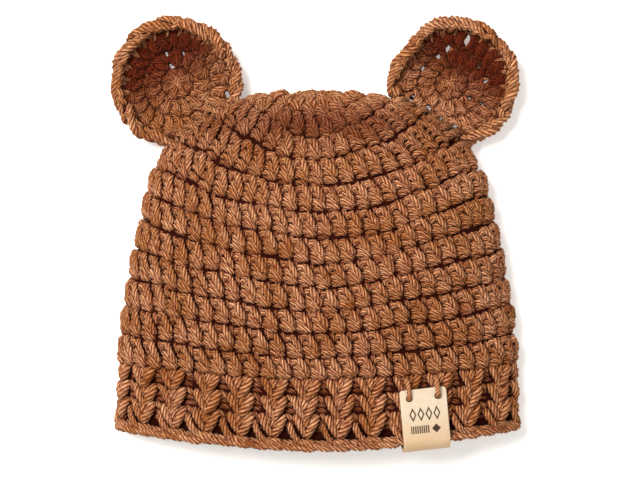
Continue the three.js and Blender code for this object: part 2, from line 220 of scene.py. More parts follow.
def makeYarnTree():
    tree = bpy.data.node_groups.new("yarn from wires", "GeometryNodeTree")
    sockets = tree.interface
    inputs = {"Wires": "Geometry", "Plies": "Int", "Groove": "Float", "Material": "Material"}
    for name, kind in inputs.items():
        sockets.new_socket(name, in_out="INPUT", socket_type="NodeSocket" + kind)
    sockets.new_socket("Yarn", in_out="OUTPUT", socket_type="NodeSocketGeometry")
    start = addNode(tree, "NodeGroupInput")

    def named(name):
        return addNode(tree, "GeometryNodeInputNamedAttribute", {"Name": name}, data_type="FLOAT").outputs[0]

    curve = addNode(tree, "GeometryNodeMeshToCurve", {"Mesh": start.outputs["Wires"]})
    turned = addNode(tree, "GeometryNodeSetCurveTilt", {"Curve": curve.outputs[0], "Tilt": named("twist")})
    corners = calc(tree, "MULTIPLY", start.outputs["Plies"], 2.0)
    circle = addNode(tree, "GeometryNodeCurvePrimitiveCircle", {"Resolution": corners, "Radius": 1.0})
    odd = calc(tree, "MODULO", addNode(tree, "GeometryNodeInputIndex").outputs[0], 2.0)
    size = addNode(
        tree, "ShaderNodeMapRange", {"Value": odd, "To Min": 1.0, "To Max": start.outputs["Groove"]},
    ).outputs[0]
    position = addNode(tree, "GeometryNodeInputPosition").outputs[0]
    scaled = addNode(tree, "ShaderNodeVectorMath", {0: position, "Scale": size}, operation="SCALE").outputs[0]
    profile = addNode(tree, "GeometryNodeSetPosition", {"Geometry": circle.outputs[0], "Position": scaled})
    for name, value, kind in (("groove", odd, "FLOAT"), ("ring", position, "FLOAT_VECTOR")):
        profile = addNode(
            tree, "GeometryNodeStoreNamedAttribute",
            {"Geometry": profile.outputs[0], "Name": name, "Value": value}, data_type=kind, domain="POINT",
        )
    tube = addNode(
        tree, "GeometryNodeCurveToMesh",
        {
            "Curve": turned.outputs[0], "Profile Curve": profile.outputs[0],
            "Scale": named("thickness"), "Fill Caps": True,
        },
    )
    smooth = addNode(tree, "GeometryNodeSetShadeSmooth", {"Geometry": tube.outputs[0]})
    real = addNode(tree, "GeometryNodeRealizeInstances", {"Geometry": smooth.outputs[0]})
    painted = addNode(
        tree, "GeometryNodeSetMaterial", {"Geometry": real.outputs[0], "Material": start.outputs["Material"]},
    )
    addNode(tree, "NodeGroupOutput", {"Yarn": painted.outputs[0]})
    return tree


def addObject(name, mesh):
    obj = bpy.data.objects.new(name, mesh)
    bpy.context.collection.objects.link(obj)
    return obj


def plainPiece(name, obj):
    graph = bpy.context.evaluated_depsgraph_get()
    mesh = bpy.data.meshes.new_from_object(obj.evaluated_get(graph))
    mesh.name = name
    bpy.data.objects.remove(obj)
    return addObject(name, mesh)


def keepOverFloor(mesh, height=0.0):
    flat = np.empty(len(mesh.vertices) * 3, np.float32)
    mesh.vertices.foreach_get("co", flat)
    flat[2::3] = np.maximum(flat[2::3], height)
    mesh.vertices.foreach_set("co", flat)
    mesh.update()


def smoothFaces(mesh):
    mesh.polygons.foreach_set("use_smooth", [True] * len(mesh.polygons))


def paint(mesh, name, values):
    layer = mesh.attributes.new(name, "FLOAT", "POINT")
    layer.data.foreach_set("value", np.asarray(values, np.float32))


def makeMesh(name, places, faces, material):
    mesh = bpy.data.meshes.new(name)
    mesh.from_pydata(places, [], faces)
    mesh.materials.append(material)
    return mesh


def editMesh(mesh, work):
    shape = bmesh.new()
    shape.from_mesh(mesh)
    work(shape)
    shape.to_mesh(mesh)
    shape.free()


def turnFacesOut(shape):
    bmesh.ops.recalc_face_normals(shape, faces=shape.faces)


def dropLoosePoints(shape):
    loose = [vertex for vertex in shape.verts if not vertex.link_faces]
    bmesh.ops.delete(shape, geom=loose, context="VERTS")


class Wires:
    # strands gathered for one piece: arrays of strands x points x 3, with one radius each
    def __init__(self):
        self.places, self.edges, self.count = [], [], 0
        self.values = {"thickness": [], "twist": [], "along": [], "strand": [], "shade": []}

    def add(self, places, radius, closed=False, turn=yarn["turn"], shade=0.0):
        strands, points, _ = places.shape
        step = np.linalg.norm(np.diff(places, axis=1), axis=2)
        length = np.concatenate([np.zeros((strands, 1)), np.cumsum(step, axis=1)], axis=1)
        thick = np.ones((strands, points)) * np.asarray(radius, float).reshape(-1, 1)
        if not closed:
            thick[:, [0, -1]] *= yarn["taper"]
        kind = rng.random((strands, 1)) * np.ones((1, points))
        start = self.count + np.arange(strands)[:, None] * points + np.arange(points - 1)[None, :]
        self.edges.append(np.stack([start, start + 1], axis=-1).reshape(-1, 2))
        if closed:
            ends = self.count + np.arange(strands) * points
            self.edges.append(np.stack([ends + points - 1, ends], axis=-1))
        self.places.append(places.reshape(-1, 3))
        self.values["thickness"].append(thick.ravel())
        self.values["twist"].append((length * 2 * math.pi / turn + kind * yarn["twistSpread"]).ravel())
        self.values["along"].append((length + kind).ravel())
        self.values["strand"].append(kind.ravel())
        self.values["shade"].append((np.ones((strands, points)) * shade).ravel())
        self.count += strands * points

    def build(self, name, material, plies=yarn["plies"], groove=yarn["groove"]):
        mesh = bpy.data.meshes.new(name + " wires")
        places, edges = np.concatenate(self.places), np.concatenate(self.edges)
        mesh.vertices.add(len(places))
        mesh.vertices.foreach_set("co", places.astype(np.float32).ravel())
        mesh.edges.add(len(edges))
        mesh.edges.foreach_set("vertices", edges.astype(np.int32).ravel())
        for label, parts in self.values.items():
            paint(mesh, label, np.concatenate(parts))
        mesh.update()
        obj = addObject(name + " wires", mesh)
        modifier = obj.modifiers.new("yarn", "NODES")
        modifier.node_group = yarnTree
        settings = {"Plies": plies, "Groove": groove, "Material": material}
        for item in yarnTree.interface.items_tree:
            if item.name in settings:
                modifier[item.identifier] = settings[item.name]
        piece = plainPiece(name, obj)
        keepOverFloor(piece.data)
        print(name, 2 * len(piece.data.polygons), "triangles")
        return piece


def through(points, count):
    # smooth path through a strand's few points
    points = np.array(points, float)
    padded = np.concatenate([2 * points[:1] - points[1:2], points, 2 * points[-1:] - points[-2:-1]])
    goal = np.linspace(0, len(points) - 1.0001, count)
    i = goal.astype(int)
    f = (goal - i)[:, None]
    a, b, c, d = (padded[i + j] for j in range(4))
    return 0.5 * (
        2 * b + (c - a) * f + (2 * a - 5 * b + 4 * c - d) * f * f + (3 * b - a - 3 * c + d) * f ** 3
    )


# Painted shade: strands darken where they go down between others, and along the joints of the rounds
sunk = {
    "from": -0.1,             # height in millimetres at which it starts
    "over": 1.6,
    "shade": 0.75,
    "line": 0.97,             # place of a joint and its width, in rounds
    "lineWidth": 0.085,
}


def placeStitches(
    wires, sheet, chart, k, t, depth, pitch=None, scale=1.0, thick=1.0, loose=1.0, line=0.0, edit=None,
):
    # a stitch at each round k and share t around; the chart's strands are radius, steps and points, which
    # are across and down as shares of a stitch and out in millimetres
    k, t = np.broadcast_arrays(np.asarray(k, float), np.asarray(t, float))
    pitch = pitch or 1 / len(t)
    spread = np.array(yarn["stray"])[:, None, None] * loose
    whole = rng.normal(0, 1, (3, len(k), 1)) * spread
    for size, steps, points in chart:
        across, down, out = through(points, steps + 1).T
        shift = rng.normal(0, yarn["strandStray"], (3, len(k), 1)) * spread + whole
        places = sheet.at(
            k[:, None] + (down + shift[1]) * scale, t[:, None] + (across + shift[0]) * pitch,
            (out + shift[2]) * mm - depth,
        )
        radius = size * mm * thick * (1 + rng.normal(0, yarn["uneven"] * loose, len(k)))
        # painted shade on the sunk parts of each strand and along the joints of rounds
        shade = np.clip((sunk["from"] - out - shift[2]) / sunk["over"], 0, 1) * sunk["shade"]
        seam = (down + shift[1] + 0.5 - sunk["line"]) % 1 - 0.5
        shade = np.maximum(shade, line * np.exp(-(seam / sunk["lineWidth"]) ** 2))
        if edit:
            places, radius, shade = edit(places, radius, shade)
        if len(places):
            wires.add(places, radius, shade=shade)


# Materials
def makeMaterial(name):
    material = bpy.data.materials.new(name)
    material.use_nodes = True
    tree = material.node_tree
    tree.nodes.clear()
    shader = addNode(tree, "ShaderNodeBsdfPrincipled")
    addNode(tree, "ShaderNodeOutputMaterial", {"Surface": shader.outputs[0]})
    return material, tree, shader


def attribute(tree, name, output="Fac"):
    return addNode(tree, "ShaderNodeAttribute", attribute_name=name).outputs[output]


def mixColour(tree, share, a, b, how="MIX"):
    # a and b are sockets or hex colours
    a, b = (linearColour(value) if isinstance(value, str) else value for value in (a, b))
    links = {0: share, 6: a, 7: b}
    return addNode(tree, "ShaderNodeMix", links, data_type="RGBA", blend_type=how).outputs[2]


def ramp(tree, value, low, high, toLow=0.0, toHigh=1.0):
    return addNode(
        tree, "ShaderNodeMapRange",
        {"Value": value, "From Min": low, "From Max": high, "To Min": toLow, "To Max": toHigh},
    ).outputs[0]


def tint(tree, base, colour, value, low, high, most):
    return mixColour(tree, ramp(tree, value, low, high, 0.0, most), base, colour)


def noise(tree, vector, scale, detail):
    links = {"Vector": vector, "Scale": scale, "Detail": detail}
    return addNode(tree, "ShaderNodeTexNoise", links).outputs[0]


def finishShader(tree, shader, base, height, strength, depth, settings):
    bump = addNode(tree, "ShaderNodeBump", {"Height": height, "Strength": strength, "Distance": depth})
    tree.links.new(base, shader.inputs["Base Color"])
    tree.links.new(bump.outputs[0], shader.inputs["Normal"])
    for name, value in settings.items():
        shader.inputs[name].default_value = value


plyLook = {
    "fibreRate": 90.0,        # along the yarn; with the next one, marks about 2 mm long
    "fibreScale": 6.0,
    "patchScale": 70.0,       # lengths of another tint, about 14 mm
    "shadow": "#8f5236",      # painted shade: what the colour of a strand is multiplied by where the shade attribute is set
    "crevice": 2.2 * mm,      # how near strands lie for the painted shade in crevices
    "relief": 0.4 * mm,
}


def plyYarnMaterial(name, light, middle, ochre, deep):
    # worsted acrylic, five plies: matte fibres along each ply, with painted shade that is lighter on its back
    # and dark in the grooves
    material, tree, shader = makeMaterial(name)
    lift = calc(tree, "MULTIPLY", attribute(tree, "along"), plyLook["fibreRate"])
    axis = addNode(tree, "ShaderNodeCombineXYZ", {"Z": lift}).outputs[0]
    spot = addNode(
        tree, "ShaderNodeVectorMath", {0: attribute(tree, "ring", "Vector"), 1: axis}, operation="ADD",
    ).outputs[0]
    fibres = noise(tree, spot, plyLook["fibreScale"], 3.0)
    place = addNode(tree, "ShaderNodeTexCoord").outputs["Object"]
    patches = noise(tree, place, plyLook["patchScale"], 2.0)
    base = mixColour(tree, ramp(tree, attribute(tree, "strand"), 0, 1, 0.0, 0.5), middle, light)
    base = tint(tree, base, light, fibres, 0.45, 0.62, 0.8)
    base = tint(tree, base, ochre, patches, 0.4, 0.65, 0.5)
    base = tint(tree, base, deep, fibres, 0.47, 0.36, 0.8)
    # painted shade in the grooves between plies
    base = tint(tree, base, deep, attribute(tree, "groove"), 0.35, 0.95, 0.95)
    # painted shade where the shade attribute is set
    shaded = mixColour(tree, 1.0, base, plyLook["shadow"], how="MULTIPLY")
    base = mixColour(tree, attribute(tree, "shade"), base, shaded)
    # painted shade: ambient occlusion darkens the colour where strands lie close together
    crevice = addNode(tree, "ShaderNodeAmbientOcclusion", {"Distance": plyLook["crevice"]}, samples=6)
    base = tint(tree, base, deep, crevice.outputs["AO"], 0.62, 0.3, 0.85)
    finishShader(tree, shader, base, fibres, 0.7, plyLook["relief"], {
        "Roughness": 0.88, "IOR": 1.49, "Specular IOR Level": 0.12,
        "Sheen Weight": 0.06, "Sheen Roughness": 0.5, "Sheen Tint": linearColour(light),
    })
    return material


def groundMaterial():
    # the fabric behind the stitches: the same yarn, matte, as a darker copy with painted shade, darker still
    # where the shade attribute is set
    material, tree, shader = makeMaterial("yarn in shade")
    fibres = noise(tree, addNode(tree, "ShaderNodeTexCoord").outputs["Object"], 900.0, 3.0)
    base = mixColour(tree, ramp(tree, fibres, 0.35, 0.65), "#6b3414", "#a0633a")
    base = mixColour(tree, attribute(tree, "shade"), base, "#2a0702")
    finishShader(tree, shader, base, fibres, 0.5, 0.4 * mm, {"Roughness": 0.95, "Specular IOR Level": 0.1})
    return material


yarnTree = makeYarnTree()
hatYarn = plyYarnMaterial("caramel worsted yarn", "#f4b98c", "#8e4814", "#9f6012", "#4c0b00")
groundYarn = groundMaterial()


def finishPiece(piece, slotName, *nodes):
    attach(piece, "root")
    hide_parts(*nodes)


# Half double crochet, right side: a knob and a slanting leg on top, wraps stacked under them
halfDouble = [
    (1.75, 7, [(0.27, 0.04, -1.6), (0.38, 0.13, 0.15), (0.55, 0.28, 0.75), (0.72, 0.45, 0.65),
        (0.85, 0.61, -0.1), (0.9, 0.73, -1.8)]),
    (1.5, 5, [
        (0.03, 0.36, -1.6), (0.02, 0.18, 0.0), (0.12, 0.1, 0.45), (0.25, 0.15, 0.2), (0.31, 0.3, -1.3)]),
    (1.3, 5, [
        (0.03, 0.46, -1.5), (0.16, 0.38, 0.1), (0.36, 0.39, 0.55), (0.52, 0.49, 0.1), (0.62, 0.57, -1.3)]),
    (1.35, 6, [
        (0.03, 0.62, -1.5), (0.16, 0.54, 0.15), (0.4, 0.56, 0.7), (0.68, 0.64, 0.3), (0.8, 0.72, -1.1)]),
    (1.4, 7, [
        (0.04, 0.79, -1.6), (0.18, 0.71, 0.1), (0.46, 0.72, 0.55), (0.76, 0.79, 0.3), (0.92, 0.85, -1.3)]),
    (1.4, 5, [(0.12, 0.92, -2.1), (0.32, 0.865, -0.5), (0.6, 0.885, -0.3), (0.86, 0.935, -1.9)]),
    (1.35, 4, [(0.72, 0.0, -1.9), (0.83, 0.1, -0.6), (0.93, 0.24, -0.7), (1.01, 0.42, -2.2)]),
]


crown = {
    "increase": 9,            # stitches added in each round until there are enough
    "stagger": 0.42,          # turn of each round, as a share of a stitch
    "depth": 1.7 * mm,        # of the chart's zero height under the sheet
    "lumps": 2,               # gathered first rounds, which stand out
    "lumpDepth": 2.0 * mm,
    "lumpThick": 1.25,
    "loose": 1.4,
    # strength of the painted shade along the joints of rounds
    "line": 0.7,
    # rounds that it goes up and down, waves around, turn for each round
    "waves": [(0.07, 5, 0.11), (0.035, 11, -0.19)],
    "pieces": {
        "crown_top_rounds": (0, 6),
        "crown_middle_rounds": (6, 9),
        "crown_low_rounds": (9, 12),
        "crown_last_round": (12, crownRounds),
    },
}
# Painted shade on the front where the gathered top sinks in behind its first lumps
dentShade = {"width": 50 * mm, "y": hat["topY"] - 15.5 * mm, "height": 9 * mm, "shade": 0.75}


def crownDrift(k, t):
    # rounds wander a little up and down, more in the middle of the crown than at its ends
    drift = sum(rise * np.sin(2 * math.pi * (count * t + turn * k)) for rise, count, turn in crown["waves"])
    return drift * np.sin(math.pi * k / crownRounds)


def crownDentShade(places, radius, shade):
    # painted shade: strands on the front darken around the middle of the top
    side, down = places[..., 0] / dentShade["width"], (places[..., 1] - dentShade["y"]) / dentShade["height"]
    near = np.exp(-side ** 2 - down ** 2)
    dark = np.where(places[..., 2] > hat["fold"], near * dentShade["shade"], 0.0)
    return places, radius, np.maximum(shade, dark)


def crownStitches(name, first, last):
    wires = Wires()
    for k in range(first, last):
        count = min(hat["stitches"], crown["increase"] * (k + 1))
        t = (np.arange(count) + crown["stagger"] * k) / count
        lump = k < crown["lumps"]
        placeStitches(
            wires, hatSheet, halfDouble, k + crownDrift(k, t), t, crown["lumpDepth" if lump else "depth"],
            thick=crown["lumpThick"] if lump else 1.0, loose=crown["loose"], line=crown["line"],
            edit=crownDentShade,
        )
    finishPiece(wires.build(name, hatYarn), "yarn", "crown")


print("crown stitches")
for name, (first, last) in crown["pieces"].items():
    crownStitches(name, first, last)


# Fabric behind the stitches, with the wrong side's bumps inside
fabric = {
    "pole": 3.0,              # rounds over which the bumps rise from the crown's centre
    "poleDepth": 0.45,        # share of the depth at the centre, and what each round adds
    "poleGain": 0.14,
    "floor": 0.3 * mm,
    # outer, then inner: from round, to round, rows, points around, depth, relief
    "crown_fabric": [
        (0.15, crownRounds, 40, 108, 2.9 * mm, 0.0),
        (0.6, crownRounds, 84, 180, 5.5 * mm, 0.45 * mm),
    ],
    "band_fabric": [
        (crownRounds + 0.04, crownRounds + bandRounds + 0.15, 10, 108, 4.5 * mm, 0.0),
        (crownRounds + 0.04, crownRounds + bandRounds + 0.15, 24, 216, 7.0 * mm, 0.4 * mm),
    ],
}


def fabricRows(kFrom, kTo, rows, around, depth, relief):
    k, t = np.linspace(kFrom, kTo, rows)[:, None], np.arange(around) / around
    lumps = np.cos(2 * math.pi * (t * hat["stitches"] + crown["stagger"] * np.floor(k)))
    bumps = relief * (np.cos(4 * math.pi * k) * 0.6 + lumps * 0.4) * np.minimum(1, k / fabric["pole"])
    return hatSheet.at(k, t, -(depth + bumps) * np.minimum(1.0, fabric["poleDepth"] + k * fabric["poleGain"]))


def joinRows(a, countA, b, countB):
    # quads where both rows have as many points, else triangles by the nearest share around
    if countA == countB:
        return [(a + i, b + i, b + (i + 1) % countA, a + (i + 1) % countA) for i in range(countA)]
    faces, i, j = [], 0, 0
    while i < countA or j < countB:
        if j >= countB or (i < countA and (i + 1) / countA <= (j + 1) / countB):
            faces.append((a + i, b + j % countB, a + (i + 1) % countA))
            i += 1
        else:
            faces.append((a + i % countA, b + j, b + (j + 1) % countB))
            j += 1
    return faces


def fabricPiece(name, node, capped):
    # a closed wall: outer rows down, inner rows up, and a cap at each end or its last row joined to its first
    outer, inner = (fabricRows(*layer) for layer in fabric[name])
    rows = list(outer) + list(inner[::-1])
    starts = np.concatenate([[0], np.cumsum([len(row) for row in rows])]).tolist()
    faces = []
    for a in range(len(rows) - 1 if capped else len(rows)):
        b = (a + 1) % len(rows)
        faces += joinRows(starts[a], len(rows[a]), starts[b], len(rows[b]))
    places = np.concatenate(rows)
    if capped:
        for row, start in ((rows[0], 0), (rows[-1], starts[-2])):
            faces += [(len(places), start + i, start + (i + 1) % len(row)) for i in range(len(row))]
            places = np.concatenate([places, row.mean(axis=0)[None]])
    mesh = makeMesh(name, places.tolist(), faces, groundYarn)
    # painted shade: the outer layer, seen between the stitches, is darkened fully
    paint(mesh, "shade", np.arange(len(places)) < len(outer) * len(outer[0]))
    smoothFaces(mesh)
    keepOverFloor(mesh, fabric["floor"])
    editMesh(mesh, turnFacesOut)
    finishPiece(addObject(name, mesh), "yarn", node)


print("fabric behind the stitches")
fabricPiece("crown_fabric", "crown", capped=True)
fabricPiece("band_fabric", "ribbed_band", capped=False)

# Ribs: a column of Vs on each front post, short bars and a post sunk between the columns
ribs = {"count": 27, "depth": 3.2 * mm, "start": 0.06, "pitch": 0.97, "turn": 0.1}
ribChart = [
    (1.9, 9, [
        (-0.02, -0.07, -1.2), (0.02, 0.1, 0.6), (0.08, 0.35, 1.15), (0.17, 0.62, 1.1), (0.27, 0.88, 0.5),
        (0.32, 1.08, -1.0)]),
    (2.35, 9, [(0.63, -0.08, -1.2), (0.6, 0.1, 0.7), (0.54, 0.36, 1.3), (0.45, 0.62, 1.25), (0.35, 0.88, 0.6),
        (0.29, 1.1, -1.1)]),
    (1.9, 6, [(0.3, -0.15, -0.8), (0.31, 0.1, 0.35), (0.31, 0.38, 0.4), (0.3, 0.62, -0.8)]),
    (1.5, 6, [(0.14, -0.12, -1.2), (0.18, 0.14, 0.2), (0.24, 0.46, 0.2), (0.28, 0.7, -0.8)]),
    (1.6, 6, [(0.47, -0.12, -1.0), (0.45, 0.14, 0.3), (0.4, 0.46, 0.3), (0.34, 0.7, -0.8)]),
    (1.35, 6, [(0.6, 0.4, -2.6), (0.72, 0.3, -1.4), (0.86, 0.31, -1.3), (1.02, 0.42, -2.6)]),
    (1.3, 6, [(0.6, 0.68, -2.7), (0.74, 0.6, -1.7), (0.88, 0.62, -1.6), (1.0, 0.72, -2.8)]),
    (1.4, 6, [(0.68, -0.16, -1.8), (0.77, -0.02, -0.5), (0.88, 0.1, -1.0), (0.93, 0.24, -2.6)]),
    (1.5, 6, [(0.83, -0.1, -3.4), (0.82, 0.3, -3.0), (0.82, 0.7, -3.0), (0.83, 1.1, -3.4)]),
]

print("ribs and edging")
ribWires = Wires()
ribTurns = (np.arange(ribs["count"]) + ribs["turn"]) / ribs["count"]
for row in range(bandRounds):
    k = crownRounds + ribs["start"] + row * ribs["pitch"]
    placeStitches(ribWires, hatSheet, ribChart, k, ribTurns, ribs["depth"])
finishPiece(ribWires.build("band_ribs", hatYarn), "yarn", "ribbed_band")

# Slip stitches along the hem: lumps between the ribs over a chain of long strands
edgingChart = [
    (1.75, 10, [
        (-0.22, -1.2, -1.4), (-0.18, -0.75, 0.2), (-0.08, -0.2, 0.9), (0.1, 0.28, 1.0), (0.4, 0.58, 0.6),
        (0.66, 0.66, -1.3)]),
    (1.6, 7, [(-0.04, 0.5, -1.4), (0.1, 0.32, 0.3), (0.28, 0.24, 0.5), (0.48, 0.3, 0.2), (0.58, 0.5, -1.3)]),
    (1.75, 8, [
        (-0.16, 0.4, -1.4), (0.02, 0.58, 0.5), (0.28, 0.74, 0.7), (0.5, 0.8, 0.2), (0.62, 0.74, -1.4)]),
    (1.75, 8, [
        (0.36, 0.42, -1.4), (0.54, 0.58, 0.5), (0.8, 0.74, 0.7), (1.02, 0.8, 0.2), (1.14, 0.74, -1.4)]),
]
edging = {"core": 2.0 * mm, "offset": 1.5 * mm, "points": 270}
edgingTop = crownRounds + bandRounds + hat["clearance"] / hat["bandHeight"] * bandRounds
edgingScale = hat["edging"] / hat["bandHeight"] * bandRounds
edgingMiddle = edgingTop + edgingScale / 2


def addEdging():
    wires = Wires()
    core = hatSheet.at(edgingMiddle, np.arange(edging["points"]) / edging["points"], -hat["bandWall"] / 2)
    wires.add(core[None], edging["core"], closed=True)
    backChart = [(size, steps, [(a, d, -o) for a, d, o in points]) for size, steps, points in edgingChart]
    for chart, offset in ((edgingChart, edging["offset"]), (backChart, -edging["offset"])):
        placeStitches(
            wires, hatSheet, chart, edgingTop, ribTurns, hat["bandWall"] / 2 - offset, scale=edgingScale,
        )
    finishPiece(wires.build("edging_cord", hatYarn), "yarn", "hem_edging")


addEdging()

# Ears: cupped rounds of stitches with a rolled rim, sewn to the crown's shoulders
ear = {
    "radius": 29.7 * mm,
    "spread": 62.1 * mm,      # from the middle of the hat
    "shift": -1.4 * mm,       # both lie a little to the left
    "rise": 3.9 * mm,         # above the top of the crown
    "lean": 31.0,             # degrees from straight up, outwards
    "wall": 5 * mm,
    "cup": 13 * mm,
    "cupFloor": 5 * mm,
    "cupCurve": 2.2,
    "rim": 3.5 * mm,
    "rimFrom": 160,           # degrees at which the rim's round starts, and how far it goes
    "rimWrap": 240,
    "rimTuck": 0.94,
    "slack": 0.55,            # share by which the cup is shallower towards the crown
    "slackFrom": 0.3,
    "slackOver": 1.3,
    "slackCurve": 1.3,
    "step": 0.1,
    "around": 144,
    "rounds": 3,
    "increase": 8,            # stitches added in each round
    "stagger": 0.37,
    "depth": 1.35 * mm,
    "thick": 0.85,
    "knots": (0.1, 0.42, 0.8),         # turns of the strands that close the first round
    "knotRadius": 1.35 * mm,
    "knotShade": 0.25,
    "rimLumps": 26,
    "rimDepth": 1.6 * mm,
    "rimLoose": 2.6,
    "seams": 7,
    "seamRounds": (3.3, 5.2),          # of the crown, that the ears are sewn to
    "seamPitch": 0.05,
    "seamDepth": 0.9 * mm,
    "sewnIn": 1.5 * mm,       # strands farther inside the crown are left out
    "gapLength": 1.9 * mm,
    "gapWidth": 1.05 * mm,
    "gapPart": 1.2 * mm,      # how wide strands part around a gap
    # share of their painted shade that sunk strands keep on the ears
    "sunkShade": 0.35,
    "shadeFrom": -0.45,       # painted shade: the inside darkens outwards, from and over these shares of the radius
    "shadeOver": 0.8,
    "fabricRows": 30,
    "fabricAround": 120,
    "fabricFrom": 0.04,
    "fabricPast": 0.3,        # rounds past the last one, into the rim
    "fabricWall": 1.4 * mm,
    "fabricIn": 3 * mm,
    "fabricGap": 0.3 * mm,
    "fabricShade": 0.8,
}
# distance from the ear's middle as a share of its radius, degrees from its outward direction, size
earGaps = {
    "left": [(0.48, 10, 0.7), (0.29, 13, 0.8), (0.46, 43, 0.6), (0.8, 134, 1.1)],
    "right": [
        (0.69, 11, 1.2), (0.53, 37, 0.8), (0.45, 57, 0.9), (0.49, -29, 0.8), (0.49, 94, 0.6),
        (0.53, -54, 0.8), (0.36, -99, 0.5), (0.57, -93, 0.5), (0.65, 143, 1.0), (0.56, 168, 1.4),
        (0.62, -167, 1.4), (0.71, -147, 1.4),
    ],
}
# how each ear's outline departs from a circle: direction in degrees, share of the radius, width in degrees
earDents = {
    "left": [(50, -0.03, 30)],
    "right": [(142, -0.085, 26), (20, 0.03, 25)],
}

# Sewing between an ear and the crown's shoulder
seamChart = [
    (1.7, 9, [
        (-0.2, 0.1, -0.6), (-0.05, 0.0, 0.6), (0.25, -0.05, 0.9), (0.6, -0.1, 0.6), (0.9, -0.15, -1.2)]),
]

# Rim of an ear: slanting strands rolled over the edge, over a full cord
rimChart = [
    (1.95, 10, [(-0.3, 0.0, -1.5), (0.1, 0.16, 0.1), (0.7, 0.34, 0.55), (1.4, 0.52, 0.6), (1.95, 0.72, 0.1),
        (2.2, 0.92, -1.5)]),
    (1.6, 7, [(0.9, -0.06, -1.7), (0.75, 0.1, -0.2), (0.5, 0.28, 0.2), (0.35, 0.42, -1.0)]),
    (1.7, 7, [(0.2, 0.5, -1.4), (0.5, 0.66, 0.1), (0.75, 0.85, 0.0), (0.8, 1.0, -1.6)]),
]

# Strand that closes the first round: turn around the ear, round, millimetres out
knotPath = np.array([
    (0.0, 0.5, -2.0), (0.03, 0.27, -0.3), (0.22, 0.06, 0.3), (0.46, 0.27, -0.3), (0.5, 0.5, -2.0),
])


def earBack(r):
    bowl = ear["radius"] - ear["cupFloor"]
    return ear["cup"] * np.maximum(0, (r - ear["cupFloor"]) / bowl) ** ear["cupCurve"]


def earGrid(middle, outward, dents):
    # rounds of the inside from the middle out, then the rim, then the back from the rim in
    rimMiddle = ear["radius"] - ear["rim"]
    rimEnd = ear["rim"] * math.cos(math.radians(ear["rimFrom"] - ear["rimWrap"]))
    phi = np.arange(ear["around"]) / ear["around"] * 2 * math.pi
    toCrown = np.clip((ear["slackFrom"] - np.cos(phi - outward)) / ear["slackOver"], 0, 1)
    height = 1 - ear["slack"] * toCrown ** ear["slackCurve"]
    outline = np.ones(ear["around"])
    for direction, share, width in dents:
        turn = (np.degrees(phi) - direction + 180) % 360 - 180
        outline += share * np.exp(-(turn / width) ** 2)
    rows = []
    for k in np.arange(0, 2 * ear["rounds"] + 1 + ear["step"] / 2, ear["step"]):
        if k <= ear["rounds"]:
            r = k / ear["rounds"] * (rimMiddle - ear["rim"] * ear["rimTuck"])
            z = earBack(r) * height + ear["wall"]
        elif k <= ear["rounds"] + 1:
            turn = math.radians(ear["rimFrom"] - ear["rimWrap"] * (k - ear["rounds"]))
            r = rimMiddle + ear["rim"] * math.cos(turn)
            z = earBack(rimMiddle) * height + ear["rim"] * (1 + math.sin(turn))
        else:
            share = (k - ear["rounds"] - 1) / ear["rounds"]
            r = (1 - share) * (rimMiddle + rimEnd)
            z = earBack(r) * height
        r = max(r, 1e-5)
        rows.append(np.stack([
            middle[0] + r * outline * np.cos(phi), middle[1] + r * outline * np.sin(phi), z,
        ], axis=1))
    return np.array(rows)


def crownHalfAt(y):
    # half of the crown's width in plan at height y
    fold = hatSheet.places[:int(crownRounds / hatSheet.step) + 1, 0]
    order = np.argsort(fold[:, 1], kind="stable")
    return np.where(y > hat["topY"] - 0.2 * mm, 0.0, np.interp(y, fold[order, 1], -fold[order, 0]))


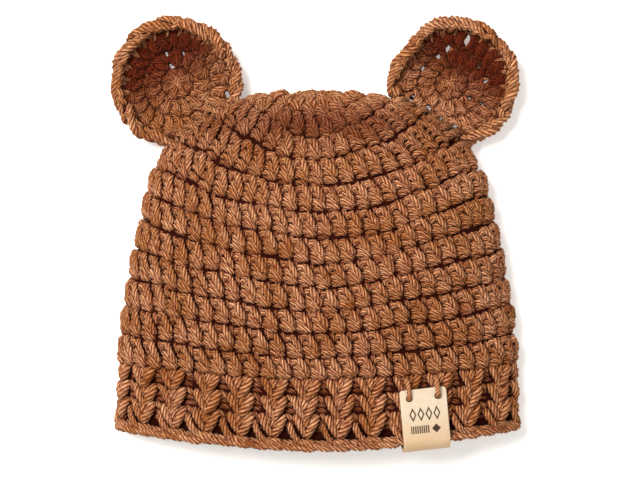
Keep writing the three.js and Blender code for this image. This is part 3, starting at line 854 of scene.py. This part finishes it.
class Ear:
    def __init__(self, side):
        self.side, self.mirror = side, -1 if side == "left" else 1
        self.middle = np.array([self.mirror * ear["spread"] + ear["shift"], hat["topY"] + ear["rise"]])
        outward = math.radians(90 - self.mirror * ear["lean"])
        self.axis = np.array([math.cos(outward), math.sin(outward)])
        self.across = np.array([-self.axis[1], self.axis[0]])
        self.sheet = Sheet(earGrid(self.middle, outward, earDents[side]), ear["step"])
        self.gaps = []
        for share, turn, size in earGaps[side]:
            angle = outward + self.mirror * math.radians(turn)
            place = self.middle + share * ear["radius"] * np.array([math.cos(angle), math.sin(angle)])
            self.gaps.append((place, size))

    def gapShare(self, places, gap, margin):
        # distance from a gap's middle as a share of its reach in that direction
        place, size = gap
        offset = places[..., :2] - place
        length, width = ear["gapLength"] * size + margin, ear["gapWidth"] * size + margin
        return np.hypot(offset @ self.axis / length, offset @ self.across / width)

    def shaped(self, inside):
        def edit(places, radius, shade):
            # strands inside the crown are left out, and the others part around the gaps
            half = crownHalfAt(places[:, :, 1].mean(axis=1))
            keep = np.abs(places[:, :, 0]).mean(axis=1) > half - ear["sewnIn"]
            places, radius, shade = places[keep], radius[keep], (shade * np.ones(places.shape[:2]))[keep]
            for gap in self.gaps:
                share = self.gapShare(places, gap, ear["gapPart"])[..., None]
                offset = places[..., :2] - gap[0]
                parted = gap[0] + offset / np.maximum(share, 0.05)
                places[..., :2] = np.where(share < 1, parted, places[..., :2])
            # painted shade: the inside darkens towards its outer end, and sunk strands keep a share of theirs
            outer = (places[..., :2] - self.middle) @ self.axis / ear["radius"]
            dark = np.clip((outer - ear["shadeFrom"]) / ear["shadeOver"], 0, 1) if inside else 0.0
            return places, radius, np.maximum(shade * ear["sunkShade"], dark)

        return edit

    def addStitches(self):
        wires = Wires()
        for k in range(ear["rounds"]):
            count = ear["increase"] * (k + 1)
            t = (np.arange(count) + ear["stagger"] * k) / count
            for start, inside in ((k, True), (2 * ear["rounds"] - k, False)):
                placeStitches(
                    wires, self.sheet, halfDouble, start, t, ear["depth"], thick=ear["thick"],
                    edit=self.shaped(inside),
                )
        for turn in ear["knots"]:
            knot = self.sheet.at(knotPath[:, 1], turn + knotPath[:, 0], knotPath[:, 2] * mm)
            # painted shade on the strands that close the first round
            wires.add(through(knot, 9)[None], ear["knotRadius"], shade=ear["knotShade"])
        placeStitches(
            wires, self.sheet, rimChart, ear["rounds"], np.arange(ear["rimLumps"]) / ear["rimLumps"],
            ear["rimDepth"], loose=ear["rimLoose"], edit=self.shaped(False),
        )
        placeStitches(
            wires, hatSheet, seamChart, np.linspace(*ear["seamRounds"], ear["seams"]),
            0.0 if self.side == "left" else 0.5, ear["seamDepth"], pitch=-ear["seamPitch"] * self.mirror,
        )
        finishPiece(wires.build("ear_stitches_" + self.side, hatYarn), "yarn", "ear_" + self.side)

    def addFabric(self):
        # thin fabric inside the ear, open at the gaps
        name = "ear_fabric_" + self.side
        rows, around = ear["fabricRows"], ear["fabricAround"]
        k = np.linspace(ear["fabricFrom"], ear["rounds"] + ear["fabricPast"], rows)[:, None]
        places = self.sheet.at(k, np.arange(around) / around, -ear["wall"] / 2).reshape(-1, 3)
        faces = []
        for i in range(rows - 1):
            for face in joinRows(i * around, around, (i + 1) * around, around):
                spot = places[list(face)].mean(axis=0)
                inCrown = abs(spot[0]) < crownHalfAt(spot[1]) - ear["fabricIn"]
                if not inCrown and min(self.gapShare(spot, gap, ear["fabricGap"]) for gap in self.gaps) > 1:
                    faces.append(face)
        mesh = makeMesh(name, places.tolist(), faces, groundYarn)
        editMesh(mesh, dropLoosePoints)
        # painted shade over the whole ear fabric
        paint(mesh, "shade", np.full(len(mesh.vertices), ear["fabricShade"]))
        obj = addObject(name, mesh)
        thicken = obj.modifiers.new("thickness", "SOLIDIFY")
        thicken.thickness = ear["fabricWall"]
        thicken.offset = 0.0
        piece = plainPiece(name, obj)
        keepOverFloor(piece.data, fabric["floor"])
        smoothFaces(piece.data)
        finishPiece(piece, "yarn", "ear_" + self.side)


print("ears")
for side in ("left", "right"):
    oneEar = Ear(side)
    oneEar.addStitches()
    oneEar.addFabric()

# Leather tag folded over the hem, tied on through two holes
tag = {
    "width": 20.9 * mm,
    "leaf": 22.6 * mm,
    "thickness": 1.3 * mm,
    "corner": 1.5 * mm,
    "cornerSteps": 6,
    "offset": 48.2 * mm,      # from the middle of the hat
    "lift": 0.6 * mm,         # over the band
    "holeFromEnd": 3.9 * mm,
    "holeFromSide": 4 * mm,
    "holeRadius": 1.4 * mm,
    "holePoints": 20,
    "edge": 0.22 * mm,        # roundness of the cut edges
    "rows": 90,               # of small faces, so that the strip can bend
    "columns": 16,
    "sag": 0.25 * mm,         # unevenness of the leaves, and how far from the bend it is full
    "settle": 6 * mm,
}
tagBend = hat["bandWall"] / 2 + tag["lift"] + tag["thickness"] / 2
tagReach = tag["leaf"] + math.pi * tagBend / 2       # half of the flat strip


def hemPoint(k, x):
    drop, side, half, front, back = roundSizes(k)
    u = abs(x) / half
    bow = (drop - side) * (1 - u ** hat["sagPower"])
    rise = (front - hat["fold"]) * (1 - u ** hat["domePower"]) ** (1 / hat["domePower"])
    return Vector((x, hat["topY"] - side - bow, hat["fold"] + rise))


tagDown = (hat["clearance"] + hat["edging"] / 2 + hat["bandHeight"]) / hat["bandHeight"]
tagMiddle = crownRounds + tagDown * bandRounds
tagOrigin = hemPoint(tagMiddle, tag["offset"])
tagAcross = (hemPoint(tagMiddle, tag["offset"] + mm) - hemPoint(tagMiddle, tag["offset"] - mm)).normalized()
tagUp = hemPoint(crownRounds, tag["offset"]) - tagOrigin
tagUp = (tagUp - tagAcross * tagUp.dot(tagAcross)).normalized()
tagOut = tagAcross.cross(tagUp)


def tagPlace(across, up, out):
    return tagOrigin + tagAcross * across + tagUp * up + tagOut * out


def tagRings():
    # outline with rounded corners, then the four holes
    half, corners = tag["width"] / 2 - tag["corner"], []
    for x, y, start in ((half, 1, 0), (-half, 1, 90), (-half, -1, 180), (half, -1, 270)):
        y = y * (tagReach - tag["corner"])
        for i in range(tag["cornerSteps"] + 1):
            angle = math.radians(start + 90 * i / tag["cornerSteps"])
            corners.append((x + tag["corner"] * math.cos(angle), y + tag["corner"] * math.sin(angle)))
    rings = [corners]
    turns = [-2 * math.pi * i / tag["holePoints"] for i in range(tag["holePoints"])]
    for side in (-1, 1):
        for end in (-1, 1):
            x, y = side * (tag["width"] / 2 - tag["holeFromSide"]), end * (tagReach - tag["holeFromEnd"])
            rings.append([
                (x + tag["holeRadius"] * math.cos(a), y + tag["holeRadius"] * math.sin(a)) for a in turns
            ])
    return rings


def foldTag(shape):
    # the flat strip is cut into small faces, keeps its flat places for the pattern and goes over the hem
    bmesh.ops.remove_doubles(shape, verts=shape.verts, dist=0.01 * mm)
    rows = [((0, -tagReach + 2 * tagReach * i / tag["rows"], 0), (0, 1, 0)) for i in range(1, tag["rows"])]
    columns = [
        (((i / tag["columns"] - 0.5) * tag["width"], 0, 0), (1, 0, 0)) for i in range(1, tag["columns"])
    ]
    for place, normal in rows + columns:
        everything = shape.verts[:] + shape.edges[:] + shape.faces[:]
        bmesh.ops.bisect_plane(shape, geom=everything, plane_co=place, plane_no=normal)
    leaf = shape.verts.layers.float_vector.new("leaf")
    straight = tagReach - tag["leaf"]
    middle = -hat["bandWall"] / 2
    for vertex in shape.verts:
        across, along, thick = vertex.co
        vertex[leaf] = (across / mm, (along - straight) / mm, thick / mm)
        if abs(along) > straight:
            face, up = math.copysign(1, along), abs(along) - straight
            sag = tag["sag"] * math.sin(across / tag["width"] * 5 + along * 90)
            out = middle + face * (tagBend + thick + sag * min(1, up / tag["settle"]))
        else:
            angle = along / straight * math.pi / 2
            up = -(tagBend + thick) * math.cos(angle)
            out = middle + (tagBend + thick) * math.sin(angle)
        vertex.co = tagPlace(across, up, out)
    turnFacesOut(shape)


def addTag():
    curve = bpy.data.curves.new("tag outline", "CURVE")
    curve.dimensions = "2D"
    curve.fill_mode = "BOTH"
    curve.extrude = tag["thickness"] / 2 - tag["edge"]
    curve.bevel_depth = tag["edge"]
    curve.bevel_resolution = 2
    curve.offset = -tag["edge"]
    for ring in tagRings():
        spline = curve.splines.new("POLY")
        spline.points.add(len(ring) - 1)
        for point, (x, y) in zip(spline.points, ring):
            point.co = (x, y, 0, 1)
        spline.use_cyclic_u = True
    piece = plainPiece("tag_leather", addObject("tag outline", curve))
    editMesh(piece.data, foldTag)
    smoothFaces(piece.data)
    piece.data.materials.clear()
    piece.data.materials.append(tagLeather())
    finishPiece(piece, "tag_leather", "leather_tag")


# Stamped pattern, in millimetres from the middle of the front leaf and up from its bend
pattern = {
    "lozengeUp": 11.4,        # a row of four outlined lozenges
    "lozengeHalf": (1.6, 3.2),
    "lozengeSpacing": 3.6,
    "lozengeRow": 7.3,
    "outline": 0.78,          # share of a lozenge at which its line lies, and half of the line's width
    "outlineHalf": 0.2,
    "lowerUp": 4.6,           # a row of dashes and a filled diamond under them
    "dashHalf": (0.28, 1.7),
    "dashSpacing": 1.9,
    "dashFrom": -7.0,
    "dashMiddle": -2.6,
    "dashRow": 4.1,
    "diamondAcross": 4.6,
    "diamondHalf": 2.0,
}


def tagLeather():
    # undyed vegetable tanned leather: cream with fine grain, tan towards the bend as painted shade, dark
    # stamped pattern
    material, tree, shader = makeMaterial("undyed leather")
    leaf = attribute(tree, "leaf", "Vector")
    across, up, thick = addNode(tree, "ShaderNodeSeparateXYZ", {0: leaf}).outputs
    grain = noise(tree, leaf, 2.2, 4.0)
    clouds = noise(tree, leaf, 0.22, 2.0)
    # painted shade: the colour turns tan towards the bend
    base = mixColour(tree, ramp(tree, up, 14, -3), "#d3c5af", "#c5a27c")
    base = tint(tree, base, "#ccb495", clouds, 0.35, 0.65, 0.45)
    base = tint(tree, base, "#ba976e", grain, 0.5, 0.75, 0.25)

    def do(operation, a, b=0.0):
        return calc(tree, operation, a, b)

    def away(value, middle):
        return do("ABSOLUTE", do("SUBTRACT", value, middle))

    def within(distance, reach, soft=0.12):
        return ramp(tree, distance, reach + soft, reach - soft)

    # over a repeat, PINGPONG gives the distance from its edge
    half = pattern["lozengeSpacing"] / 2
    edge = do("PINGPONG", do("ADD", across, pattern["lozengeSpacing"] * 2), half)
    aside = do("DIVIDE", do("SUBTRACT", half, edge), pattern["lozengeHalf"][0])
    above = do("DIVIDE", away(up, pattern["lozengeUp"]), pattern["lozengeHalf"][1])
    outline = within(away(do("ADD", aside, above), pattern["outline"]), pattern["outlineHalf"], 0.07)
    lozenges = do("MULTIPLY", outline, within(away(across, 0.0), pattern["lozengeRow"]))
    half = pattern["dashSpacing"] / 2
    edge = do("PINGPONG", do("SUBTRACT", across, pattern["dashFrom"]), half)
    low = away(up, pattern["lowerUp"])
    dashes = within(away(edge, half / 2), pattern["dashHalf"][0])
    dashes = do("MULTIPLY", dashes, within(low, pattern["dashHalf"][1]))
    dashes = do("MULTIPLY", dashes, within(away(across, pattern["dashMiddle"]), pattern["dashRow"]))
    diamond = within(do("ADD", away(across, pattern["diamondAcross"]), low), pattern["diamondHalf"])
    stamp = do("MAXIMUM", do("MAXIMUM", lozenges, dashes), diamond)
    # only on the leaf's face, and fainter where the grain is open
    stamp = do("MULTIPLY", stamp, ramp(tree, thick, 0.2, 0.5))
    stamp = do("MULTIPLY", stamp, ramp(tree, grain, 0.2, 0.45, 0.8, 1.0))
    base = mixColour(tree, stamp, base, "#3a1f12")
    height = do("SUBTRACT", do("MULTIPLY", grain, 0.25), stamp)
    finishShader(tree, shader, base, height, 0.5, 0.25 * mm, {
        "Roughness": 0.62, "IOR": 1.48, "Specular IOR Level": 0.35,
    })
    return material


print("tag and ties")
addTag()

ties = {
    "radius": 1.2 * mm,
    "half": 1.1 * mm,         # half of the solid's thread, which the route follows
    "rise": 7.8 * mm,         # from the hole up to where the thread enters the band
    "bend": 1.8 * mm,
    "bendSteps": 8,
    "turn": 4.2 * mm,         # length of one turn of its plies
    "plies": 3,
    "groove": 0.68,
    "points": 96,
}
tieThread = plyYarnMaterial("tan waxed thread", "#e3ab83", "#c4855a", "#c08a55", "#703515")


def addTie(side):
    # a closed loop through a hole of both leaves and through the band above the tag
    mirror = -1 if side == "left" else 1
    across = mirror * (tag["width"] / 2 - tag["holeFromSide"])
    outside = tag["lift"] + tag["thickness"] + hat["clearance"] + ties["half"]
    inside = -hat["bandWall"] - outside
    bend, low = ties["bend"], tag["leaf"] - tag["holeFromEnd"]
    high = low + ties["rise"]
    corners = []
    for up, out, start in (
        (low + bend, outside - bend, -90), (high - bend, outside - bend, 0),
        (high - bend, inside + bend, 90), (low + bend, inside + bend, 180),
    ):
        for i in range(ties["bendSteps"] + 1):
            angle = math.radians(start + i * 90 / ties["bendSteps"])
            corners.append(tagPlace(across, up + bend * math.sin(angle), out + bend * math.cos(angle)))
    line = evenly(np.array([tuple(corner) for corner in corners + corners[:1]]), ties["points"])
    wires = Wires()
    wires.add(line[None], ties["radius"], closed=True, turn=ties["turn"])
    piece = wires.build("tag_thread_" + side, tieThread, plies=ties["plies"], groove=ties["groove"])
    finishPiece(piece, "tie_thread", "tag_tie_" + side)


for side in ("left", "right"):
    addTie(side)

print("stage")
studio = {
    "floor": 3.0,             # half of the floor's side, in metres
    "glow": 0.3,              # keeps the floor white
    "lightColour": (1.0, 0.965, 0.91),
    "worldColour": (1, 0.965, 0.92, 1),
    "worldStrength": 0.4,
    # name, place, size and watts
    "lights": [("window", (-0.55, 0.45, 1.35), 0.6, 30), ("fill", (0.9, -0.4, 1.5), 1.2, 6)],
}


def makeFloor():
    material, tree, shader = makeMaterial("white floor")
    for name, value in (
        ("Base Color", linearColour("#ffffff")), ("Roughness", 0.9), ("Emission Color", (1, 1, 1, 1)),
        ("Emission Strength", studio["glow"]),
    ):
        shader.inputs[name].default_value = value
    reach = studio["floor"]
    corners = [(-reach, -reach, 0), (reach, -reach, 0), (reach, reach, 0), (-reach, reach, 0)]
    addObject("floor", makeMesh("floor", corners, [(0, 1, 2, 3)], material))


def addLight(name, place, size, power):
    light = bpy.data.lights.new(name, "AREA")
    light.size = size
    light.energy = power
    light.color = studio["lightColour"]
    obj = addObject(name, light)
    obj.location = place
    obj.rotation_euler = (-Vector(place)).to_track_quat("-Z", "Y").to_euler()


makeFloor()
for light in studio["lights"]:
    addLight(*light)

world = bpy.data.worlds.new("studio")
world.use_nodes = True
world.node_tree.nodes["Background"].inputs[0].default_value = studio["worldColour"]
world.node_tree.nodes["Background"].inputs[1].default_value = studio["worldStrength"]
bpy.context.scene.world = world
bpy.context.scene.view_settings.view_transform = "Standard"

view = {
    "pixel": 0.45 * mm,       # width of one of the photograph's pixels at the hat
    "pixels": 640,
    "height": 1.1,
    "subject": 0.012,         # height of the hat's middle over the floor
    "sensor": 36.0,
    "middle": (1.1 * mm, -2.7 * mm),
}
cameraData = bpy.data.cameras.new("camera")
cameraData.sensor_width = view["sensor"]
cameraData.lens = view["sensor"] * (view["height"] - view["subject"]) / (view["pixels"] * view["pixel"])
camera = addObject("camera", cameraData)
camera.location = (*view["middle"], view["height"])
bpy.context.scene.camera = camera
